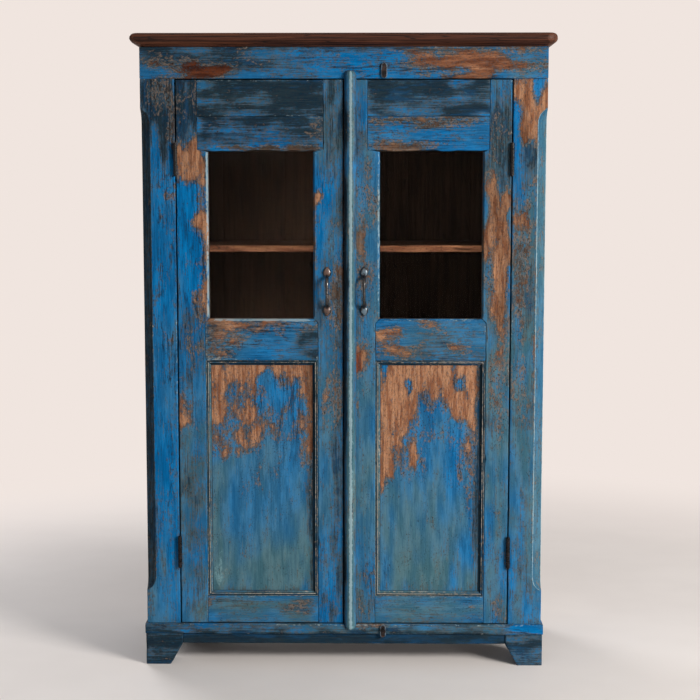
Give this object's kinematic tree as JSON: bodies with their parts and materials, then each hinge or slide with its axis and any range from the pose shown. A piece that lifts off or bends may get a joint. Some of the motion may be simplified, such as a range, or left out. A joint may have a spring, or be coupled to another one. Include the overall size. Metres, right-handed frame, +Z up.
{
  "type": "china cabinet",
  "caption": "Painted wooden cupboard with windows in the upper halves of its hinged doors, wooden panels below, shelves inside, turn-buttons and a low base on block feet",
  "frame": {"origin": "on the floor under the middle of the whole cupboard's box", "axes": "+Z up, the doors face -Y, +X to the right when looking at the doors"},
  "size_m": [1.122, 0.431, 1.7],
  "materials": {
    "painted_wood": "old blue paint, worn through to orange-brown wood",
    "top_wood": "dark oiled wood, worn",
    "bare_wood": "bare aged wood",
    "window_glass": "clear old window glass",
    "forged_iron": "dark rusty forged iron"
  },
  "bodies": {
    "carcase": {"top_board": "top_wood", "frieze_rail": "painted_wood", "front_base_rail": "painted_wood", "back_base_rail": "painted_wood", "plinth_rail": "painted_wood", "back_boards": "bare_wood", "bottom_board": "bare_wood", "upper_shelf": "bare_wood", "lower_shelf": "bare_wood", "shelf_bearers": "bare_wood", "left_front_post": "painted_wood", "left_rear_post": "painted_wood", "left_side_top_rail": "painted_wood", "left_side_bottom_rail": "painted_wood", "left_side_panel": "painted_wood", "left_base_rail": "painted_wood", "left_front_foot": "painted_wood", "left_rear_foot": "painted_wood", "right_front_post": "painted_wood", "right_rear_post": "painted_wood", "right_side_top_rail": "painted_wood", "right_side_bottom_rail": "painted_wood", "right_side_panel": "painted_wood", "right_base_rail": "painted_wood", "right_front_foot": "painted_wood", "right_rear_foot": "painted_wood", "frame_hinge_leaves": "forged_iron", "frame_hinge_screws": "forged_iron", "hinge_pins": "forged_iron", "button_screws": "forged_iron"},
    "left_door": {"left_door_hinge_stile": "painted_wood", "left_door_meeting_stile": "painted_wood", "left_door_top_rail": "painted_wood", "left_door_window_rail": "painted_wood", "left_door_lock_rail": "painted_wood", "left_door_bottom_rail": "painted_wood", "left_door_panel": "painted_wood", "left_door_panel_moulding": "painted_wood", "left_door_glass": "window_glass", "left_door_glazing_beads": "bare_wood", "left_door_handle": "forged_iron", "left_door_hinge_leaves": "forged_iron", "left_door_fasteners": "forged_iron"},
    "right_door": {"right_door_hinge_stile": "painted_wood", "right_door_meeting_stile": "painted_wood", "right_door_top_rail": "painted_wood", "right_door_window_rail": "painted_wood", "right_door_lock_rail": "painted_wood", "right_door_bottom_rail": "painted_wood", "right_door_panel": "painted_wood", "right_door_panel_moulding": "painted_wood", "right_door_glass": "window_glass", "right_door_glazing_beads": "bare_wood", "right_door_handle": "forged_iron", "right_door_hinge_leaves": "forged_iron", "right_door_fasteners": "forged_iron", "meeting_bead": "painted_wood"},
    "top_button": {"top_turn_button": "forged_iron"},
    "bottom_button": {"bottom_turn_button": "forged_iron"}
  },
  "joints": [
    {"name": "left_door_hinge", "type": "hinge", "parent": "carcase", "child": "left_door", "pos_m": [-0.4445, -0.19, 0.843], "axis": [0, 0, -1], "range_deg": [0, 170]},
    {"name": "right_door_hinge", "type": "hinge", "parent": "carcase", "child": "right_door", "pos_m": [0.4445, -0.19, 0.843], "axis": [0, 0, 1], "range_deg": [0, 170]},
    {"name": "top_button_turn", "type": "hinge", "parent": "carcase", "child": "top_button", "pos_m": [0.1065, -0.188, 1.596], "axis": [0, -1, 0], "continuous": true},
    {"name": "bottom_button_turn", "type": "hinge", "parent": "carcase", "child": "bottom_button", "pos_m": [0.1065, -0.193, 0.1005], "axis": [0, -1, 0], "continuous": true}
  ]
}
